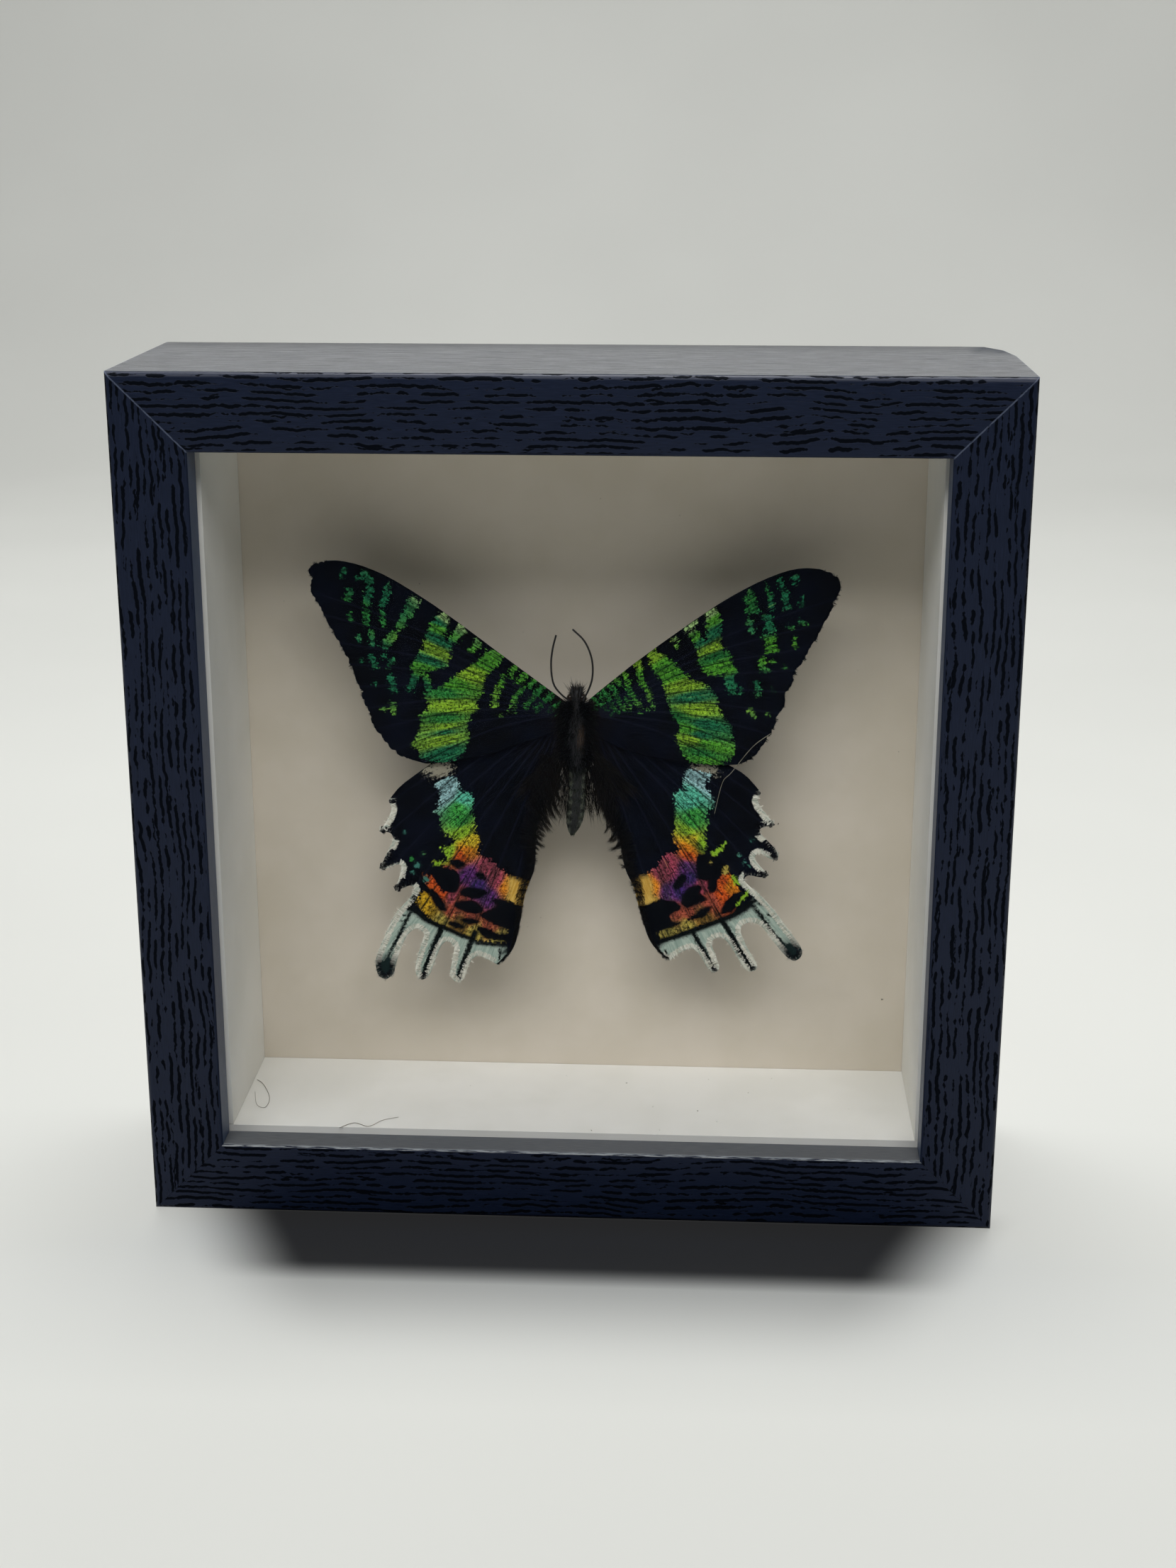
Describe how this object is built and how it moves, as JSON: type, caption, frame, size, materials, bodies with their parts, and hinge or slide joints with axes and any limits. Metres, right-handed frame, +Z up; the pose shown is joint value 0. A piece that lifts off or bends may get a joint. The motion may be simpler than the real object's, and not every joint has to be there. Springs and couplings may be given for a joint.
{
  "type": "framed moth specimen",
  "caption": "Deep square box frame, glazed and lined with white board, holding a spread tailed day-flying moth on a pin before a cream card.",
  "frame": {"origin": "middle of the frame's underside, on the surface that it stands on", "axes": "+Z up, +X to the viewer's right, +Y from the glass to the back"},
  "size_m": [0.15, 0.045, 0.15],
  "materials": {
    "frame_foil": "blue-black wood-grain foil with darker open pores, satin",
    "glass": "clear float glass",
    "liner_board": "white laminated board, matt",
    "mount_card": "cream card, matt",
    "hardboard": "brown hardboard, matt",
    "steel": "zinc-plated steel",
    "moth_body": "dry brown-black hair and scales, matt",
    "wing_scales": "blue-black scales with iridescent green, orange and purple bands"
  },
  "bodies": {
    "root": {"rail_bottom": "frame_foil", "rail_left": "frame_foil", "rail_top": "frame_foil", "rail_right": "frame_foil", "glass": "glass", "liner_bottom": "liner_board", "liner_top": "liner_board", "liner_left": "liner_board", "liner_right": "liner_board", "mount_card": "mount_card", "backing_board": "hardboard", "tab_bottom_1": "steel", "tab_bottom_2": "steel", "tab_left_1": "steel", "tab_left_2": "steel", "tab_top_1": "steel", "tab_top_2": "steel", "tab_right_1": "steel", "tab_right_2": "steel", "hanger": "steel", "nail_1": "steel", "nail_2": "steel", "pin": "steel", "body": "moth_body", "forewing_left": "wing_scales", "forewing_right": "wing_scales", "hindwing_left": "wing_scales", "hindwing_right": "wing_scales", "antenna_left": "moth_body", "antenna_right": "moth_body", "leg_front_left": "moth_body", "leg_front_right": "moth_body", "leg_middle_left": "moth_body", "leg_middle_right": "moth_body", "leg_hind_left": "moth_body", "leg_hind_right": "moth_body"}
  },
  "joints": []
}
